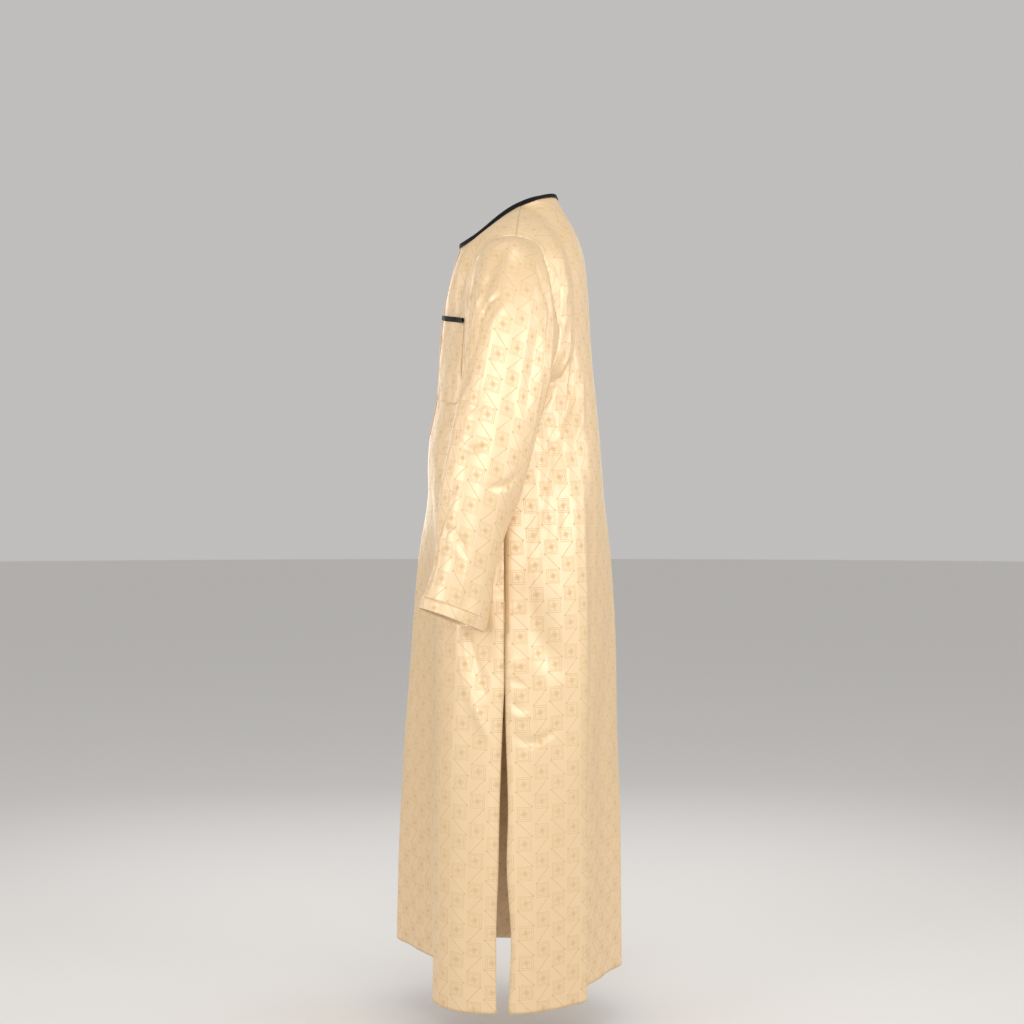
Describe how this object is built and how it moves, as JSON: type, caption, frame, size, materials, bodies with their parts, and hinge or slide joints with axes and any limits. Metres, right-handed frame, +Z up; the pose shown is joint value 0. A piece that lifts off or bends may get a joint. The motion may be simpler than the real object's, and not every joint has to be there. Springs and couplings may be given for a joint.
{
  "type": "thobe robe",
  "caption": "Long ankle-length robe with a round bound neck, long set-in sleeves, a chest patch pocket and side slits, in the hollow form it has when worn.",
  "frame": {"origin": "centre of the neck opening, at the height of the neck points of the shoulder seams, where the wearer's shoulders hold the robe up", "axes": "+Z up along the robe's length, the front faces -Y, the robe's own left side is +X"},
  "size_m": [0.7094, 0.4343, 1.4538],
  "materials": {
    "front_panel": "champagne satin jacquard, small squares and slanted strokes",
    "back_panel": "champagne satin jacquard, small squares and slanted strokes",
    "left_sleeve": "champagne satin jacquard, small squares and slanted strokes",
    "right_sleeve": "champagne satin jacquard, small squares and slanted strokes",
    "left_cuff_hem": "champagne satin jacquard, small squares and slanted strokes",
    "right_cuff_hem": "champagne satin jacquard, small squares and slanted strokes",
    "neck_binding": "black satin binding",
    "chest_pocket": "champagne satin jacquard, small squares and slanted strokes",
    "pocket_binding": "black satin binding",
    "front_placket": "champagne satin jacquard, small squares and slanted strokes"
  },
  "bodies": {
    "root": {"front_panel": "front_panel", "back_panel": "back_panel", "left_sleeve": "left_sleeve", "right_sleeve": "right_sleeve", "left_cuff_hem": "left_cuff_hem", "right_cuff_hem": "right_cuff_hem", "neck_binding": "neck_binding", "chest_pocket": "chest_pocket", "pocket_binding": "pocket_binding", "front_placket": "front_placket"}
  },
  "joints": []
}
